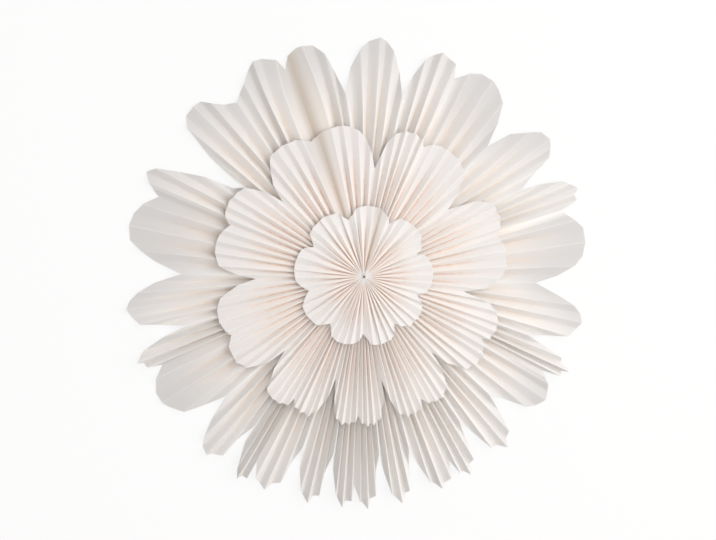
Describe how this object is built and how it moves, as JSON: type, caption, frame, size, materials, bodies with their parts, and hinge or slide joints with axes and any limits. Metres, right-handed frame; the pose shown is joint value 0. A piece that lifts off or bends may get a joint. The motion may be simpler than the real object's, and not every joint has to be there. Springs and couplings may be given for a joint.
{
  "type": "paper star",
  "caption": "Pleated paper star: stacked rings of accordion-folded fans with petal-cut rims, glued edge to edge round a tied centre, as a hanging wall decoration.",
  "frame": {"origin": "on the star's axis, in the plane of its back folds", "axes": "+Z along the axis, out of the star's face; +Y towards its top edge; +X to the right, seen from the front"},
  "size_m": [0.4719, 0.475, 0.0286],
  "materials": {
    "paper": "matt uncoated white paper",
    "thread": "white cotton thread"
  },
  "bodies": {
    "root": {"outer_fan_1": "paper", "outer_fan_2": "paper", "outer_fan_3": "paper", "outer_fan_4": "paper", "outer_fan_5": "paper", "outer_fan_6": "paper", "outer_fan_7": "paper", "outer_fan_8": "paper", "outer_fan_9": "paper", "middle_fan_1": "paper", "middle_fan_2": "paper", "middle_fan_3": "paper", "middle_fan_4": "paper", "middle_fan_5": "paper", "middle_fan_6": "paper", "middle_fan_7": "paper", "middle_fan_8": "paper", "middle_fan_9": "paper", "inner_fan_1": "paper", "inner_fan_2": "paper", "inner_fan_3": "paper", "inner_fan_4": "paper", "inner_fan_5": "paper", "inner_fan_6": "paper", "inner_fan_7": "paper", "inner_fan_8": "paper", "inner_fan_9": "paper", "centre_tie": "thread"}
  },
  "joints": []
}
